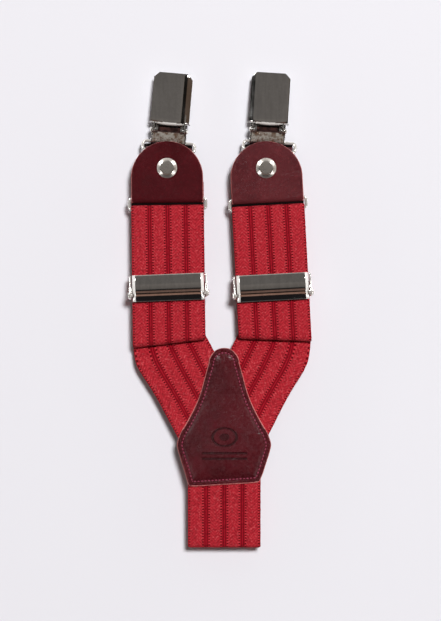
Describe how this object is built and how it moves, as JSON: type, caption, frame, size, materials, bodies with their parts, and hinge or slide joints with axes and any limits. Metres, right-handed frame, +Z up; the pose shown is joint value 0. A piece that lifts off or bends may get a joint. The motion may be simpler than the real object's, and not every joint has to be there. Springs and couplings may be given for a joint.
{
  "type": "suspenders",
  "caption": "Y-back suspenders folded flat: elastic webbing straps, leather patch and tabs, wire rings, hinged-lever clips and sliding adjusters.",
  "frame": {"origin": "middle of the whole folded object, on the surface that it lies on", "axes": "+Y towards the front clips, +X to the right seen from above, +Z up"},
  "size_m": [0.0891, 0.2284, 0.017],
  "materials": {
    "webbing": "woven elastic",
    "leather": "smooth semi-matt",
    "nickel": "polished",
    "steel": "plain"
  },
  "bodies": {
    "straps": {"shoulder_strap_left": "webbing", "shoulder_strap_right": "webbing", "strap_tail_left": "webbing", "strap_tail_right": "webbing", "back_strap": "webbing", "patch_front": "leather", "patch_back": "leather", "leather_tab_back": "leather", "ring_loop_back": "leather", "rivet_cap_back": "nickel", "rivet_base_back": "steel"},
    "adjuster_left": {"adjuster_frame_left": "nickel", "adjuster_bar_left": "steel", "adjuster_pin_left": "nickel"},
    "cover_left": {"adjuster_cover_left": "nickel"},
    "adjuster_right": {"adjuster_frame_right": "nickel", "adjuster_bar_right": "steel", "adjuster_pin_right": "nickel"},
    "cover_right": {"adjuster_cover_right": "nickel"},
    "lower_ring_left": {"lower_ring_left": "nickel"},
    "tab_left": {"leather_tab_left": "leather", "ring_loop_left": "leather", "rivet_cap_left": "nickel", "rivet_base_left": "steel"},
    "top_ring_left": {"top_ring_left": "nickel"},
    "clip_left": {"clip_base_left": "nickel", "clip_pin_left": "nickel", "clip_spring_left": "steel"},
    "lever_left": {"clip_lever_left": "nickel"},
    "jaw_left": {"clip_jaw_left": "steel"},
    "lower_ring_right": {"lower_ring_right": "nickel"},
    "tab_right": {"leather_tab_right": "leather", "ring_loop_right": "leather", "rivet_cap_right": "nickel", "rivet_base_right": "steel"},
    "top_ring_right": {"top_ring_right": "nickel"},
    "clip_right": {"clip_base_right": "nickel", "clip_pin_right": "nickel", "clip_spring_right": "steel"},
    "lever_right": {"clip_lever_right": "nickel"},
    "jaw_right": {"clip_jaw_right": "steel"},
    "top_ring_back": {"top_ring_back": "nickel"},
    "clip_back": {"clip_base_back": "nickel", "clip_pin_back": "nickel", "clip_spring_back": "steel"},
    "lever_back": {"clip_lever_back": "nickel"},
    "jaw_back": {"clip_jaw_back": "steel"}
  },
  "joints": [
    {"name": "adjuster_left_slide", "type": "slide", "parent": "straps", "child": "adjuster_left", "axis": [-0.0122, 0.9999, 0], "range_m": [-0.013, 0.018], "deforming": ["strap_tail_left"]},
    {"name": "cover_left_hinge", "type": "hinge", "parent": "adjuster_left", "child": "cover_left", "pos_m": [-0.02481, 0.00745, 0.01495], "axis": [0.9992, 0.0401, 0], "range_deg": [0, 44]},
    {"name": "adjuster_right_slide", "type": "slide", "parent": "straps", "child": "adjuster_right", "axis": [-0.0536, 0.9986, 0], "range_m": [-0.013, 0.018], "deforming": ["strap_tail_right"]},
    {"name": "cover_right_hinge", "type": "hinge", "parent": "adjuster_right", "child": "cover_right", "pos_m": [0.02508, 0.0075, 0.01495], "axis": [0.9986, 0.0536, 0], "range_deg": [0, 44]},
    {"name": "lower_ring_left_hinge", "type": "hinge", "parent": "straps", "child": "lower_ring_left", "pos_m": [-0.0254, 0.04824, 0.0101], "axis": [0.9999, 0.0122, 0], "range_deg": [0, 25]},
    {"name": "tab_left_hinge", "type": "hinge", "parent": "lower_ring_left", "child": "tab_left", "pos_m": [-0.02546, 0.05324, 0.0101], "axis": [0.9999, 0.0122, 0], "range_deg": [0, 40]},
    {"name": "top_ring_left_hinge", "type": "hinge", "parent": "tab_left", "child": "top_ring_left", "pos_m": [-0.02514, 0.07605, 0.0089], "axis": [0.9966, -0.0819, 0], "range_deg": [0, 22]},
    {"name": "clip_left_hinge", "type": "hinge", "parent": "top_ring_left", "child": "clip_left", "pos_m": [-0.02516, 0.08065, 0.00625], "axis": [0.9966, -0.0819, 0], "range_deg": [0, 32]},
    {"name": "lever_left_hinge", "type": "hinge", "parent": "clip_left", "child": "lever_left", "pos_m": [-0.02472, 0.086, 0.00841], "axis": [0.9966, -0.0819, 0], "range_deg": [0, 75]},
    {"name": "jaw_left_hinge", "type": "hinge", "parent": "clip_left", "child": "jaw_left", "pos_m": [-0.02472, 0.086, 0.00841], "axis": [0.9966, -0.0819, 0], "range_deg": [0, 12]},
    {"name": "lower_ring_right_hinge", "type": "hinge", "parent": "straps", "child": "lower_ring_right", "pos_m": [0.0229, 0.04824, 0.0101], "axis": [0.9986, 0.0536, 0], "range_deg": [0, 25]},
    {"name": "tab_right_hinge", "type": "hinge", "parent": "lower_ring_right", "child": "tab_right", "pos_m": [0.02263, 0.05323, 0.0101], "axis": [0.9986, 0.0536, 0], "range_deg": [0, 40]},
    {"name": "top_ring_right_hinge", "type": "hinge", "parent": "tab_right", "child": "top_ring_right", "pos_m": [0.02331, 0.0761, 0.0089], "axis": [0.9979, -0.0651, 0], "range_deg": [0, 22]},
    {"name": "clip_right_hinge", "type": "hinge", "parent": "top_ring_right", "child": "clip_right", "pos_m": [0.02241, 0.08076, 0.00625], "axis": [0.9979, -0.0651, 0], "range_deg": [0, 32]},
    {"name": "lever_right_hinge", "type": "hinge", "parent": "clip_right", "child": "lever_right", "pos_m": [0.02276, 0.08611, 0.00841], "axis": [0.9979, -0.0651, 0], "range_deg": [0, 75]},
    {"name": "jaw_right_hinge", "type": "hinge", "parent": "clip_right", "child": "jaw_right", "pos_m": [0.02276, 0.08611, 0.00841], "axis": [0.9979, -0.0651, 0], "range_deg": [0, 12]},
    {"name": "top_ring_back_hinge", "type": "hinge", "parent": "straps", "child": "top_ring_back", "pos_m": [0.0018, -0.06176, 0.0048], "axis": [-1, 0, 0], "range_deg": [0, 22]},
    {"name": "clip_back_hinge", "type": "hinge", "parent": "top_ring_back", "child": "clip_back", "pos_m": [0.0018, -0.05681, 0.0067], "axis": [-1, 0, 0], "range_deg": [0, 32]},
    {"name": "lever_back_hinge", "type": "hinge", "parent": "clip_back", "child": "lever_back", "pos_m": [0.0018, -0.05193, 0.00361], "axis": [-1, 0, 0], "range_deg": [0, 75]},
    {"name": "jaw_back_hinge", "type": "hinge", "parent": "clip_back", "child": "jaw_back", "pos_m": [0.0018, -0.05193, 0.00361], "axis": [-1, 0, 0], "range_deg": [0, 12]}
  ],
  "couplings": [
    {"joint": "jaw_left_hinge", "follows": "lever_left_hinge", "ratio": 0.15},
    {"joint": "jaw_right_hinge", "follows": "lever_right_hinge", "ratio": 0.15},
    {"joint": "jaw_back_hinge", "follows": "lever_back_hinge", "ratio": 0.15}
  ]
}
